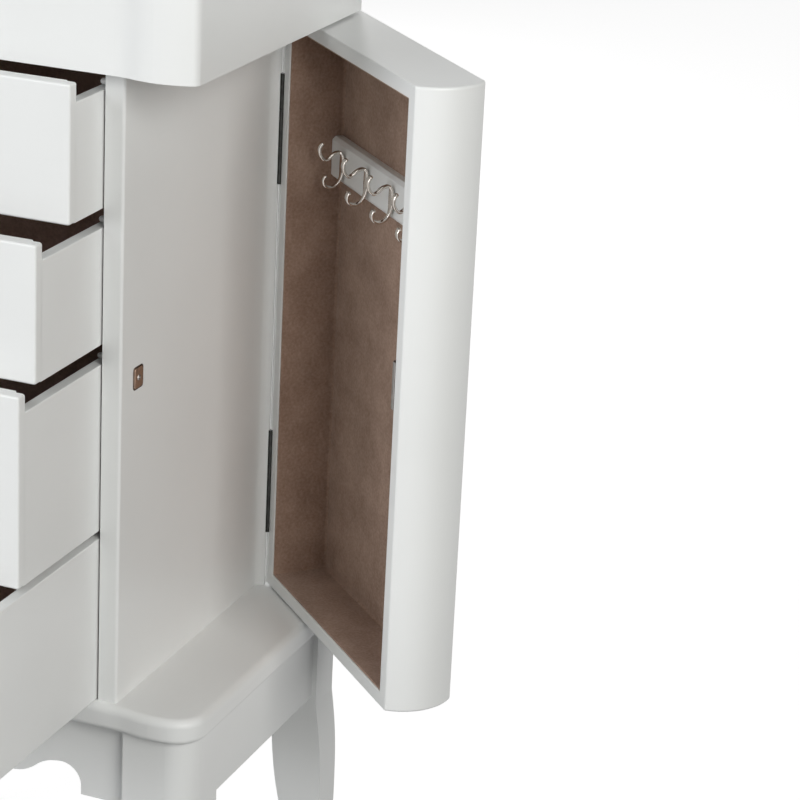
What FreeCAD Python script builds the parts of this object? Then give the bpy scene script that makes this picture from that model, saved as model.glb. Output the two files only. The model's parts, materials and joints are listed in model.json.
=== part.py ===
import FreeCAD, Part
import math
import os
from FreeCAD import Vector

# Jewelry cabinet: a drawer carcass on four cabriole legs, a hinged necklace door on each side, and a
# lidded tray on top with a mirror under the lid.  Millimetres, +Z up, front faces -Y, X = 0 is the
# middle plane.  Y = 0 is the front plane of the carcass while the pieces are built; at the end all
# of them move along Y so that the origin lies under the middle of the bounding box at rest.

# ---------------------------------------------------------------- driving dimensions
# carcass
opening_w = 290.0        # drawer opening between the stiles
stile_w = 17.0           # width of each front stile
stile_d = 24.0           # depth of each front stile
stile_r = 2.5            # rounded outer arris of the stile
carcass_h = 540.0        # from base board to tray
carcass_d = 284.0        # from front plane to the back edge of the sides
side_t = 11.0            # side panel
hinge_edge = 7.3         # its back edge coves out this much to carry the door hinges
hinge_flat = 2.5         # flat outer face of that edge
back_t = 5.0             # back panel
back_inset = 3.0         # back panel stands in from the back edge of the sides
# base board and legs
leg_h = 326.0            # floor to underside of base board
base_t = 22.0
base_side = 76.0         # projection of the base board beyond the side panel
base_front = 8.5         # projection in front of the stiles
base_back = 21.0         # projection behind the sides
base_bow = 3.5           # forward bow of the wings
base_drop = 8.0          # the wing falls back this much from its crown to the corner
base_corner_r = 28.0
base_back_r = 4.0
base_round_top = 7.0     # rounded upper edge
base_round_low = 5.0     # rounded lower edge
leg_set = 5.0            # leg block stands in from the side edge of the base board
front_leg_w, front_leg_d = 63.0, 53.0
rear_leg_w, rear_leg_d = 44.0, 42.0
front_leg_set = 5.5      # front leg block stands in from the front edge of the base board
front_leg_r = 25.0       # rounded outer corner of the front leg block
rear_leg_r = 5.0
leg_block_low = 3.0      # the straight block reaches this far below the aprons
knee_out = 6.0           # the knee swells out beyond the block
ankle_in = 5.6           # the ankle stands in from it
ankle_w = 24.0
foot_w = 31.0
# shaft of the legs from the block to the ankle: share of its height, share of the knee's swelling,
# shares of the block's extra width and depth over the ankle, share of its corner radius
front_leg_line = ((1.0, 0.0, 1.0, 1.0, 1.0), (0.985, 0.0, 1.0, 1.0, 1.0), (0.90, 0.42, 0.88, 0.88, 0.94),
                  (0.77, 1.0, 0.64, 0.64, 0.80), (0.47, 0.15, 0.21, 0.21, 0.48))
rear_leg_line = ((1.0, 0.0, 1.0, 1.0, 1.0), (0.985, 0.08, 1.02, 1.0, 1.0), (0.90, 0.52, 1.14, 0.97, 0.94),
                 (0.77, 0.92, 1.20, 0.90, 0.85), (0.60, 1.0, 0.98, 0.78, 0.72), (0.44, 0.55, 0.55, 0.45, 0.5))
# aprons
apron_t = 12.0
apron_set = 4.0          # side aprons stand in from the outer face of the legs
apron_front_set = 9.0    # front apron stands in from the front face of the legs
apron_h = 74.0           # height of the front apron beside the legs
apron_side_h = 70.0      # height of the side and back aprons
scallop_level = 43.5     # straight part of the apron foot next to each leg
scallop_step = 10.0      # upright step at the end of it
scallop_peak = 26.5      # rise from the level part to the top of the arch
scallop_arch = 23.5      # width of the quarter arch
scallop_ogee = 40.0      # width of the ogee towards the middle
scallop_mid = 9.0        # rise of the middle part above the level part
# tray case on top
case_h = 88.0
case_wall = 11.0
case_side = 69.5         # projection beyond the side panel
case_front = 20.0
case_back = 24.0
case_bow = 4.6
case_drop = 9.6
case_corner_r = 7.0
case_back_r = 3.0
deck_t = 12.0
bow_start = 17.0         # the bow of the wings starts this far outside the opening
bow_run = 35.0           # from there to its crown
tray_wall_h = 42.0       # dividers of the tray
tray_wall_t = 6.0
ring_bed_w = 170.0       # cushion with ring slots
ring_bed_d = 118.0
ring_roll_n = 7
# lid
lid_gap = 2.0
lid_frame_t = 11.0
lid_panel_t = 12.0
lid_over = 2.0           # lid overhang at front and sides
lid_round = 6.0
lid_border = 42.0        # width of the frame round the mirror
mirror_t = 4.0
mirror_bevel = 14.0
mirror_bevel_h = 1.6
mirror_clear = 0.5
lid_open = 100.0         # degrees, where it rests on its stop
# drawers, top to bottom: front height, side height, pull at rest
drawer_sizes = [(111.5, 96.0, 55.0), (112.0, 98.0, 108.0), (159.5, 144.5, 134.0), (149.8, 144.5, 185.0)]
drawer_gap_low = 0.5     # under the lowest front
drawer_gap = 1.55        # between fronts
drawer_clear = 1.5       # each side of the drawer
drawer_front_t = 10.0
drawer_front_r = 2.5     # rounded edges of the front
drawer_side_t = 10.0
drawer_inner_t = 5.0     # inner front behind the drawer front
drawer_d = 262.0         # front face to back
drawer_floor_t = 4.0
drawer_floor_up = 3.0
drawer_back_t = 8.0
drawer_lining_t = 1.0
shelf_t = 4.5            # dust panel under each drawer
shelf_clear = 0.3
guide_h = 18.0
kicker_r = 2.5           # pin above the front of each drawer side, keeps the drawer from tipping
kicker_up = 3.2          # pin centre above the drawer side
kicker_y = 13.5
kicker_out = 11.0        # how far it stands out of the stile
kicker_in = 8.0          # how deep it is seated
knob_r = 12.0
knob_len = 22.0
# side doors
door_open = 45.0         # degrees at rest
door_t = 62.0
door_gap = 1.0           # between the hinge edge of the side panel and the door alongside it
door_len = 290.0         # hinge end to the crown of the curved free end
door_low, door_top = 2.0, 2.5   # gaps to base board and tray case
door_rim = 12.5          # top and bottom boards
door_back_rim = 13.5     # board on the hinge side
door_panel_t = 9.0
door_end_in = 22.0       # inner face of the free end from its crown
door_end_drop_in = 10.0  # the curve falls back this much at the inner edge
door_end_drop_out = 14.5  # and this much at the outer edge
door_lining_t = 1.5
door_lining_set = 1.0    # lining stands back from the rim
rail_h, rail_t, rail_z = 33.0, 10.0, 395.5   # hook rail, height above the base board
rail_chamfer = 3.0
hook_n = 5
hook_first = 36.0        # first hook from the hinge end of the door
hook_last = 22.0         # last hook from the inner face of the free end
hook_wire = 3.0
hook_reach = 22.6        # upper arm, out of the rail
hook_fall = 28.0         # lower crook, below the top of the stem
hook_drop = 8.5          # top of the stem below the top of the rail
# metal
leaf_w, leaf_t = 12.5, 0.65
knuckle_r, hinge_pin_r, pin_fit = 2.6, 1.3, 0.05
knuckle_gap = 0.4
door_hinge_len = 99.0
door_hinge_z = (52.5, 382.0)      # lower ends above the base board
lid_hinge_len, lid_leaf_w, lid_leaf_t = 50.0, 20.0, 0.9
lid_hinge_x = 130.0
strike_w, strike_h, strike_t = 17.2, 19.6, 0.8
strike_y, strike_z = 30.0, 280.2
catch_len, catch_h, catch_d = 5.0, 42.0, 12.0
catch_z = 285.8

# ---------------------------------------------------------------- levels and planes
z_base = leg_h + base_t              # top of the base board, where the carcass stands
z_case = z_base + carcass_h          # underside of the tray case
z_rim = z_case + case_h              # top of the tray walls
x_open = opening_w / 2
x_side = x_open + stile_w            # outer face of the side panels
x_in = x_side - side_t               # inner face of the side panels
x_case = x_side + case_side
x_base = x_side + base_side
y_case_front, y_case_back = -case_front, carcass_d + case_back
y_base_front, y_base_back = -base_front, carcass_d + base_back
x_leg = x_base - leg_set             # outer face of the leg blocks
y_front_leg = y_base_front + front_leg_set
x_edge = x_side + hinge_edge         # outer face of the hinge edges
x_hinge = x_edge + door_gap / 2      # door hinge axis, at the back corner
y_hinge = carcass_d + leaf_t / 2
y_lid_hinge = y_case_back + knuckle_r + knuckle_gap
z_lid_hinge = z_rim + lid_gap / 2


# ---------------------------------------------------------------- helpers
def box(x0, x1, y0, y1, z0, z1):
    """Block between two corners."""
    return Part.makeBox(x1 - x0, y1 - y0, z1 - z0, Vector(x0, y0, z0))


def mirrored(shape):
    """The same piece on the left side."""
    return shape.mirror(Vector(0, 0, 0), Vector(1, 0, 0))


def both(shape):
    """A piece and its mirror image, as two solids."""
    return [shape, mirrored(shape)]


def group(shapes):
    """Separate solids kept together in one node."""
    solids = []
    for shape in shapes:
        solids += shape.Solids
    return Part.Compound(solids)


def edges_at(shape, test):
    """Edges whose middle point passes a test."""
    return [e for e in shape.Edges if test(e.CenterOfMass, e)]


def upright(edge):
    """True for an edge that runs along Z."""
    b = edge.BoundBox
    return b.ZLength > 1.0 and b.XLength < 1e-3 and b.YLength < 1e-3


def bowed_plan(half_w, y_front, y_back, bow, drop, z):
    """Face with a straight middle, wings that bow forward in tangent arcs, and straight sides."""
    x0 = x_open + bow_start
    turn = 2 * math.atan(bow / bow_run)
    r1 = bow_run / (2 * math.sin(turn))
    reach = half_w - x0 - bow_run
    r2 = (reach * reach + drop * drop) / (2 * drop)
    half = math.asin(reach / r2) / 2
    wing = [(0, 0), (r1 * math.sin(turn / 2), r1 * (1 - math.cos(turn / 2))), (bow_run / 2, bow / 2),
            (bow_run - r1 * math.sin(turn / 2), bow - r1 * (1 - math.cos(turn / 2))), (bow_run, bow),
            (bow_run + r2 * math.sin(half), bow - r2 * (1 - math.cos(half))), (half_w - x0, bow - drop)]
    edges = []
    for s in (1, -1):
        p = [Vector(s * (x0 + a), y_front - d, z) for a, d in wing]
        edges += [Part.Arc(p[i], p[i + 1], p[i + 2]).toShape() for i in (0, 2, 4)]
        edges.append(Part.makeLine(p[6], Vector(s * half_w, y_back, z)))
    edges.append(Part.makeLine(Vector(-x0, y_front, z), Vector(x0, y_front, z)))
    edges.append(Part.makeLine(Vector(-half_w, y_back, z), Vector(half_w, y_back, z)))
    return Part.Face(Part.Wire(Part.__sortEdges__(edges)))


def bowed_block(half_w, y_front, y_back, bow, drop, z0, z1, corner_r, back_r):
    """Bowed plan made solid, with its upright corners rounded."""
    block = bowed_plan(half_w, y_front, y_back, bow, drop, z0).extrude(Vector(0, 0, z1 - z0))
    front = edges_at(block, lambda c, e: upright(e) and abs(abs(c.x) - half_w) < 0.01 and c.y < y_back - 1)
    block = block.makeFillet(corner_r, front)
    if back_r:
        back = edges_at(block, lambda c, e: upright(e) and abs(c.y - y_back) < 0.01)
        block = block.makeFillet(back_r, back)
    return block


def level_edges(block, z):
    """All edges of a block that lie at one height."""
    return edges_at(block, lambda c, e: abs(e.BoundBox.ZMin - z) < 0.01 and abs(e.BoundBox.ZMax - z) < 0.01)


def folded_leaf(side, start, width, leaf, gap, z0, z1):
    """Leaf plate on one side of a narrow gap, running towards -Y."""
    x0, x1 = sorted((side * (gap / 2 - leaf), side * gap / 2))
    return box(x0, x1, -width, -start, z0, z1)


def flat_leaf(side, start, width, leaf, z0, z1):
    """Leaf plate that runs sideways from the barrel, level with its middle."""
    x0, x1 = sorted((side * start, side * width))
    return box(x0, x1, -leaf / 2, leaf / 2, z0, z1)


def hinge(length, leaf_plate):
    """Hinge on the Z axis, with the fixed leaf on the -X side.

    leaf_plate(side, start, z0, z1) makes a leaf that begins at a distance from the axis. Returns the
    fixed leaf, its pin and the moving leaf, which holds the two end knuckles."""
    third = length / 3
    bore = Part.makeCylinder(hinge_pin_r + pin_fit, length, Vector(0, 0, 0))
    pin = Part.makeCylinder(hinge_pin_r, length, Vector(0, 0, 0))
    spans = {-1: [(third, 2 * third)], 1: [(0, third - knuckle_gap), (2 * third + knuckle_gap, length)]}
    leaves = []
    for side in (-1, 1):
        plate = leaf_plate(side, knuckle_r + knuckle_gap, 0, length)
        for z0, z1 in spans[side]:
            plate = plate.fuse(leaf_plate(side, 0, z0, z1))
            plate = plate.fuse(Part.makeCylinder(knuckle_r, z1 - z0, Vector(0, 0, z0)))
        leaves.append(plate.cut(bore).removeSplitter())
    return leaves[0], pin, leaves[1]


# ---------------------------------------------------------------- base and legs
def leg_section(x1, y0, w, d, r, z):
    """Rectangle at height z whose outer front corner (x1, y0) is rounded."""
    x0, y1 = x1 - w, y0 + d
    k = r * (1 - math.sqrt(0.5))
    a, b = Vector(x1 - r, y0, z), Vector(x1, y0 + r, z)
    corners = [b, Vector(x1, y1, z), Vector(x0, y1, z), Vector(x0, y0, z), a]
    edges = [Part.Arc(a, Vector(x1 - k, y0 + k, z), b).toShape()]
    edges += [Part.makeLine(p, q) for p, q in zip(corners, corners[1:])]
    return Part.Wire(edges)


def cabriole_leg(x_out, y_out, w, d, r_out, line, along):
    """Straight leg block over a shaft that swells at the knee, narrows to the ankle and flares to the foot.

    The outer corner leads: it moves out sideways at the knee and in at the ankle, and a share of that,
    along, forwards and back."""
    block_z = leg_h - apron_h - leg_block_low
    wires = []
    for share, swell, keep_w, keep_d, keep_r in line:
        sw, sd = ankle_w + (w - ankle_w) * keep_w, ankle_w + (d - ankle_w) * keep_d
        out, r = knee_out * swell, min(r_out * keep_r, 0.45 * min(sw, sd))
        wires.append(leg_section(x_out + out, y_out - out * along, sw, sd, r, block_z * share))
    for share, tuck, size in ((0.20, 1.0, 0.0), (0.085, 0.64, 0.4), (0.0, 0.0, 1.0)):
        side = ankle_w + (foot_w - ankle_w) * size
        wires.append(leg_section(x_out - ankle_in * tuck, y_out + ankle_in * tuck * along, side, side,
                                 r_out * 0.35, block_z * share))
    shaft = Part.makeLoft(wires[::-1], True, False)
    top = leg_section(x_out, y_out, w, d, min(r_out, 0.45 * min(w, d)), block_z)
    block = Part.Face(top).extrude(Vector(0, 0, leg_h - block_z))
    return shaft.fuse(block)


def legs():
    """Four legs: the front ones are broad with a rounded corner, the rear ones square."""
    front = cabriole_leg(x_leg, y_front_leg, front_leg_w, front_leg_d, front_leg_r, front_leg_line, 1.0)
    rear = cabriole_leg(x_leg, 0, rear_leg_w, rear_leg_d, rear_leg_r, rear_leg_line, 0.0)
    rear = rear.mirror(Vector(0, 0, 0), Vector(0, 1, 0))
    rear.translate(Vector(0, y_base_back, 0))
    return {"leg_front_right": front, "leg_front_left": mirrored(front),
            "leg_rear_right": rear, "leg_rear_left": mirrored(rear)}


def base_board():
    """Board that carries the carcass and fills the width of the doors, with rounded edges."""
    block = bowed_block(x_base, y_base_front, y_base_back, base_bow, base_drop, leg_h, z_base, base_corner_r,
                        base_back_r)
    block = block.makeFillet(base_round_top, level_edges(block, z_base))
    return block.makeFillet(base_round_low, level_edges(block, leg_h))


def apron_front():
    """Scalloped front apron between the front legs."""
    half = x_leg - front_leg_w
    y0 = y_front_leg + apron_front_set
    low = leg_h - apron_h
    xs = half - scallop_level            # step
    xp = xs - scallop_arch               # top of the arch
    xm = xp - scallop_ogee / 2           # middle of the ogee
    xe = xp - scallop_ogee               # where the level middle part starts
    zs, zp, ze = low + scallop_step, low + scallop_peak, low + scallop_mid
    zm = (zp + ze) / 2

    def half_edges(s):
        p = [Vector(s * x, y0, z) for x, z in
             ((half, low), (xs, low), (xs, zs), (xp, zp), (xm, zm), (xe, ze))]
        arch = Vector(s * (xs - scallop_arch * 0.27), y0, zp - (zp - zs) * 0.26)
        upper = Vector(s * (xp - scallop_ogee * 0.27), y0, zp - (zp - zm) * 0.32)
        lower = Vector(s * (xe + scallop_ogee * 0.24), y0, ze + (zm - ze) * 0.27)
        return p, [Part.makeLine(p[0], p[1]), Part.makeLine(p[1], p[2]),
                   Part.Arc(p[2], arch, p[3]).toShape(), Part.Arc(p[3], upper, p[4]).toShape(),
                   Part.Arc(p[4], lower, p[5]).toShape()]

    pr, right = half_edges(1)
    pl, left = half_edges(-1)
    top_r, top_l = Vector(half, y0, leg_h), Vector(-half, y0, leg_h)
    edges = right + [Part.makeLine(pr[-1], pl[-1])] + left
    edges += [Part.makeLine(pl[0], top_l), Part.makeLine(top_l, top_r), Part.makeLine(top_r, pr[0])]
    face = Part.Face(Part.Wire(Part.__sortEdges__(edges)))
    return face.extrude(Vector(0, apron_t, 0))


def aprons_plain():
    """Two straight side aprons and the back apron."""
    x1 = x_leg - apron_set
    low = leg_h - apron_side_h
    side = box(x1 - apron_t, x1, y_front_leg + front_leg_d, y_base_back - rear_leg_d, low, leg_h)
    y1 = y_base_back - apron_set
    half = x_leg - rear_leg_w
    return group(both(side) + [box(-half, half, y1 - apron_t, y1, low, leg_h)])


# ---------------------------------------------------------------- carcass
def drawer_levels():
    """For each drawer, top to bottom: bottom of the front, front height, side height, pull."""
    levels, z = [], z_base + drawer_gap_low
    for front_h, side_h, pull in reversed(drawer_sizes):
        levels.append((z, front_h, side_h, pull))
        z += front_h + drawer_gap
    return levels[::-1]


def kicker_pins():
    """Levels of the pins above the drawer sides: one pair for each drawer but the lowest."""
    return [z + side_h + kicker_up for z, front_h, side_h, pull in drawer_levels()[:-1]]


def kicker_pin(z, r):
    """One pin seated in the right stile, at height z."""
    return Part.makeCylinder(r, kicker_in + kicker_out, Vector(x_open - kicker_out, kicker_y, z),
                             Vector(1, 0, 0))


def stile():
    """Right front stile with its rounded outer arris and the seats of the pins."""
    post = box(x_open, x_side, 0, stile_d, z_base, z_case)
    arris = edges_at(post, lambda c, e: upright(e) and c.x > x_side - 0.01 and c.y < 0.01)
    post = post.makeFillet(stile_r, arris)
    for z in kicker_pins():
        post = post.cut(kicker_pin(z, kicker_r))
    return post


def side_panel():
    """Right side panel behind the stile; its back edge coves out and carries the door hinges."""
    y_flat = carcass_d - hinge_flat
    k = hinge_edge * math.sqrt(0.5)
    a, b = Vector(x_side, y_flat - hinge_edge, z_base), Vector(x_edge, y_flat, z_base)
    corners = [b, Vector(x_edge, carcass_d, z_base), Vector(x_in, carcass_d, z_base),
               Vector(x_in, stile_d, z_base), Vector(x_side, stile_d, z_base), a]
    edges = [Part.Arc(a, Vector(x_edge - k, y_flat - hinge_edge + k, z_base), b).toShape()]
    edges += [Part.makeLine(p, q) for p, q in zip(corners, corners[1:])]
    panel = Part.Face(Part.Wire(edges)).extrude(Vector(0, 0, carcass_h))
    return hinge_seats(panel)


def hinge_seats(shape):
    """Room for the hinge barrels, cut round their axis."""
    for z in door_hinge_z:
        shape = shape.cut(Part.makeCylinder(knuckle_r + knuckle_gap, door_hinge_len + 2 * knuckle_gap,
                                            Vector(x_hinge, y_hinge, z_base + z - knuckle_gap)))
    return shape


def back_panel():
    """Back panel let in between the sides."""
    y1 = carcass_d - back_inset
    return box(-x_in, x_in, y1 - back_t, y1, z_base, z_case)


def runners():
    """Dust panels under the upper drawers, and guide strips beside every drawer."""
    pieces = []
    y1 = carcass_d - back_inset - back_t
    levels = drawer_levels()
    for i, (z, front_h, side_h, pull) in enumerate(levels):
        top = z - shelf_clear
        if i < len(levels) - 1:
            pieces.append(box(-x_in, x_in, stile_d, y1, top - shelf_t, top))
        else:
            top = z_base
        pieces += both(box(x_open, x_in, stile_d, y1, top, top + guide_h))
    return group(pieces)


# ---------------------------------------------------------------- tray case
def case_block(z0, z1):
    """Outer shape of the tray case between two heights."""
    return bowed_block(x_case, y_case_front, y_case_back, case_bow, case_drop, z0, z1, case_corner_r,
                       case_back_r)


def case_front_board():
    """Bowed front board of the tray."""
    cut = box(-x_case, x_case, y_case_front - case_bow - 1, y_case_front + case_wall, z_case, z_rim)
    return case_block(z_case, z_rim).common(cut)


def case_sides():
    """Side boards of the tray, between front and back board."""
    y0, y1 = y_case_front + case_wall, y_case_back - case_wall
    cut = box(x_case - case_wall, x_case + 1, y0, y1, z_case, z_rim)
    return group(both(case_block(z_case, z_rim).common(cut)))


def case_back_board():
    """Back board of the tray."""
    cut = box(-x_case, x_case, y_case_back - case_wall, y_case_back + 1, z_case, z_rim)
    return case_block(z_case, z_rim).common(cut)


def case_inside():
    """Inner faces of the tray: half width, front, back and floor level."""
    return x_case - case_wall, y_case_front + case_wall, y_case_back - case_wall, z_case + deck_t


def deck():
    """Floor of the tray and top of the carcass."""
    x1, y0, y1, z1 = case_inside()
    return box(-x1, x1, y0, y1, z_case, z1)


def tray_floor_z():
    """Top of the cloth on the tray floor."""
    return case_inside()[3] + door_lining_t


def tray_cloth():
    """Cloth on the floor of the tray."""
    x1, y0, y1, z1 = case_inside()
    return box(-x1, x1, y0, y1, z1, tray_floor_z())


def tray_dividers():
    """Lengthwise divider, with cross dividers in front of it and behind it."""
    x1, y0, y1, z1 = case_inside()
    z0 = tray_floor_z()
    top = z0 + tray_wall_h
    ym = y0 + ring_bed_d + 1.0
    pieces = [box(-x1, x1, ym, ym + tray_wall_t, z0, top)]
    xr = ring_bed_w / 2 + 1.0
    pieces += both(box(xr, xr + tray_wall_t, y0, ym, z0, top))
    pieces += both(box(xr, xr + tray_wall_t, ym + tray_wall_t, y1, z0, top))
    return group(pieces)


def ring_rolls():
    """Cushion with parallel rolls that pinch rings between them."""
    x1, y0, y1, z1 = case_inside()
    z0 = tray_floor_z() + 0.3
    pitch = ring_bed_d / ring_roll_n
    r = pitch / 2 - 0.2
    height = 24.0
    half = ring_bed_w / 2
    rolls = []
    for i in range(ring_roll_n):
        y = y0 + 0.3 + (i + 0.5) * pitch
        low = box(-half, half, y - r, y + r, z0, z0 + height - r)
        crown = Part.makeCylinder(r, 2 * half, Vector(-half, y, z0 + height - r), Vector(1, 0, 0))
        rolls.append(low.fuse(crown).removeSplitter())
    return group(rolls)


# ---------------------------------------------------------------- lid
def lid_turned(shape):
    """Closed lid piece turned to its open rest position."""
    turned = shape.copy()
    turned.rotate(Vector(0, y_lid_hinge, z_lid_hinge), Vector(1, 0, 0), -lid_open)
    return turned


def lid_block(z0, z1):
    """Outer shape of the lid between two heights, closed."""
    return bowed_block(x_case + lid_over, y_case_front - lid_over, y_case_back, case_bow, case_drop,
                       z0, z1, case_corner_r + lid_over, case_back_r)


def mirror_plan():
    """Opening for the mirror: half width, front and back."""
    return x_case + lid_over - lid_border, y_case_front - lid_over + lid_border, y_case_back - lid_border


def lid_frame():
    """Lower frame of the lid, round the mirror."""
    z0 = z_rim + lid_gap
    x1, y0, y1 = mirror_plan()
    return lid_block(z0, z0 + lid_frame_t).cut(box(-x1, x1, y0, y1, z0 - 1, z0 + lid_frame_t + 1))


def lid_panel():
    """Upper board of the lid with its rounded edge."""
    z0 = z_rim + lid_gap + lid_frame_t
    block = lid_block(z0, z0 + lid_panel_t)
    return block.makeFillet(lid_round, level_edges(block, z0 + lid_panel_t))


def mirror():
    """Bevelled mirror in the lid frame, against the upper board."""
    x1, y0, y1 = mirror_plan()
    z1 = z_rim + lid_gap + lid_frame_t
    z0 = z1 - mirror_t + mirror_bevel_h
    c = mirror_clear

    def outline(inset, z):
        x, a, b = x1 - c - inset, y0 + c + inset, y1 - c - inset
        return Part.makePolygon([Vector(-x, a, z), Vector(x, a, z), Vector(x, b, z), Vector(-x, b, z),
                                 Vector(-x, a, z)])

    plate = Part.Face(outline(0, z0)).extrude(Vector(0, 0, z1 - z0))
    bevel = Part.makeLoft([outline(0, z0), outline(mirror_bevel, z0 - mirror_bevel_h)], True, True)
    return plate.fuse(bevel)


def lid_hinges():
    """Two butt hinges along the back edge: fixed leaves, pins and lid leaves."""
    fixed, pins, moving = [], [], []
    for x in (-lid_hinge_x, lid_hinge_x):
        parts = hinge(lid_hinge_len, lambda side, start, z0, z1: folded_leaf(
            side, start, lid_leaf_w, lid_leaf_t, lid_gap, z0, z1))
        for piece, target in zip(parts, (fixed, pins, moving)):
            laid = piece.copy()
            laid.rotate(Vector(0, 0, 0), Vector(0, 1, 0), -90)
            laid.translate(Vector(x + lid_hinge_len / 2, y_lid_hinge, z_lid_hinge))
            target.append(laid)
    return fixed, pins, moving


# ---------------------------------------------------------------- drawers
def drawer_front(z, front_h):
    """Front board with softly rounded edges."""
    x1 = x_open - drawer_clear
    board = box(-x1, x1, 0, drawer_front_t, z, z + front_h)
    rim = edges_at(board, lambda c, e: c.y < 0.01)
    return board.makeFillet(drawer_front_r, rim)


def drawer_box(z, front_h, side_h):
    """Two sides, the inner front, the back and the floor."""
    x1 = x_open - drawer_clear
    xi = x1 - drawer_side_t
    y0, y1 = drawer_front_t, drawer_d
    sides = both(box(xi, x1, y0, y1, z, z + side_h))
    inner = box(-xi, xi, y0, y0 + drawer_inner_t, z, z + front_h - 0.6)
    back = box(-xi, xi, y1 - drawer_back_t, y1, z, z + side_h - 2.0)
    floor_z = z + drawer_floor_up
    floor = box(-xi, xi, y0 + drawer_inner_t, y1 - drawer_back_t, floor_z, floor_z + drawer_floor_t)
    return group(sides + [inner, back, floor])


def drawer_lining(z, side_h):
    """Cloth tray inside the drawer."""
    xi = x_open - drawer_clear - drawer_side_t
    y0, y1 = drawer_front_t + drawer_inner_t, drawer_d - drawer_back_t
    z0, z1 = z + drawer_floor_up + drawer_floor_t, z + side_h - 3.0
    t = drawer_lining_t
    return box(-xi, xi, y0, y1, z0, z1).cut(box(-xi + t, xi - t, y0 + t, y1 - t, z0 + t, z1 + 1))


def knob(z):
    """Round knob on the middle of a drawer front."""
    r, n = knob_r, knob_len
    p = [Vector(a * r, b * n, z) for a, b in
         ((0, 0), (0.6, 0), (0.37, -0.22), (0.37, -0.45), (0.76, -0.56), (1.0, -0.76), (0.80, -0.93),
          (0.25, -1.0), (0, -1.0))]
    edges = [Part.makeLine(p[0], p[1]), Part.makeLine(p[1], p[2]), Part.makeLine(p[2], p[3]),
             Part.Arc(p[3], p[4], p[5]).toShape(), Part.Arc(p[5], p[6], p[7]).toShape(),
             Part.makeLine(p[7], p[8]), Part.makeLine(p[8], p[0])]
    return Part.Face(Part.Wire(edges)).revolve(Vector(0, 0, z), Vector(0, 1, 0), 360)


def drawers():
    """All drawers, each moved out by its pull."""
    nodes = {}
    for i, (z, front_h, side_h, pull) in enumerate(drawer_levels(), 1):
        pieces = {"front": drawer_front(z, front_h), "box": drawer_box(z, front_h, side_h),
                  "lining": drawer_lining(z, side_h), "knob": knob(z + front_h / 2)}
        for name, shape in pieces.items():
            shape.translate(Vector(0, -pull, 0))
            nodes["drawer_%d_%s" % (i, name)] = shape
    return nodes


# ---------------------------------------------------------------- side doors
# Pieces are built on the closed right door: a point is (u, v, z) with u from the hinge end towards
# the free end, v outwards from the inner rim and z above the base board.
def at(u, v, z):
    """Door point in the cabinet."""
    return Vector(x_edge + door_gap + v, carcass_d - u, z_base + z)


def door_box(u0, u1, v0, v1, z0, z1):
    """Block in door measures."""
    a, b = at(u0, v0, z0), at(u1, v1, z1)
    return box(a.x, b.x, b.y, a.y, a.z, b.z)


door_z0, door_z1 = door_low, carcass_h - door_top
door_u_in = door_len - door_end_in          # inner face of the free end
door_v_in = door_t - door_panel_t           # inner face of the outer panel


def door_end():
    """Free end board: flat inside, with the full-height curved face and a crisp outer corner."""
    p_in = at(door_len - door_end_drop_in, 0, door_z0)
    p_mid = at(door_len, door_t * 0.44, door_z0)
    p_out = at(door_len - door_end_drop_out, door_t, door_z0)
    a, b = at(door_u_in, 0, door_z0), at(door_u_in, door_t, door_z0)
    edges = [Part.makeLine(a, p_in), Part.Arc(p_in, p_mid, p_out).toShape(), Part.makeLine(p_out, b),
             Part.makeLine(b, a)]
    board = Part.Face(Part.Wire(edges)).extrude(Vector(0, 0, door_z1 - door_z0))
    return board


def door_frame():
    """Hinge-side board with the top and bottom boards."""
    back = hinge_seats(door_box(0, door_back_rim, 0, door_v_in, door_z0, door_z1))
    low = door_box(door_back_rim, door_u_in, 0, door_v_in, door_z0, door_z0 + door_rim)
    top = door_box(door_back_rim, door_u_in, 0, door_v_in, door_z1 - door_rim, door_z1)
    return group([back, low, top])


def door_panel():
    """Outer panel, between the free end and the hinge end."""
    return door_box(0, door_u_in, door_v_in, door_t, door_z0, door_z1)


def door_lining():
    """Cloth tray that lines the inside of the door."""
    t, s = door_lining_t, door_lining_set
    u0, u1, z0, z1 = door_back_rim, door_u_in, door_z0 + door_rim, door_z1 - door_rim
    tray = door_box(u0, u1, s, door_v_in, z0, z1)
    return tray.cut(door_box(u0 + t, u1 - t, s - 1, door_v_in - t, z0 + t, z1 - t))


def hook_rail():
    """Bevelled rail across the back of the door, with room for the cloth at each end."""
    v1 = door_v_in - door_lining_t
    u0, u1 = door_back_rim + door_lining_t, door_u_in - door_lining_t
    rail = door_box(u0, u1, v1 - rail_t, v1, rail_z, rail_z + rail_h)
    x_face = at(0, v1 - rail_t, 0).x
    front = edges_at(rail, lambda c, e: abs(c.x - x_face) < 0.01 and not upright(e))
    return rail.makeChamfer(rail_chamfer, front)


def hook(u):
    """Double hook: a stem on the rail, an arched upper arm and a lower crook."""
    v_face = door_v_in - door_lining_t - rail_t
    w = hook_wire
    stem = w / hook_reach
    z0 = rail_z + rail_h - hook_drop
    # silhouette as shares of (reach out of the rail, fall from the top of the stem)
    outer = [(0, 0.054), (0.20, 0.225), (0.487, 0.193), (0.664, 0.10), (0.805, 0.086), (0.867, 0.179),
             (0.752, 0.45), (0.867, 0.514), (1.0, 0.20), (0.903, 0.007), (0.69, -0.029), (0.442, 0.086),
             (0.23, 0.114), (stem, -0.014), (stem, -0.707), (0.283, -0.879), (0.513, -0.886),
             (0.655, -0.786), (0.69, -0.564), (0.832, -0.564), (0.805, -0.85), (0.566, -1.0),
             (0.23, -0.993), (0, -0.764)]
    points = [at(u + w / 2, v_face - a * hook_reach, z0 + b * hook_fall) for a, b in outer]
    return Part.Face(Part.makePolygon(points + points[:1])).extrude(Vector(0, w, 0))


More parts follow.
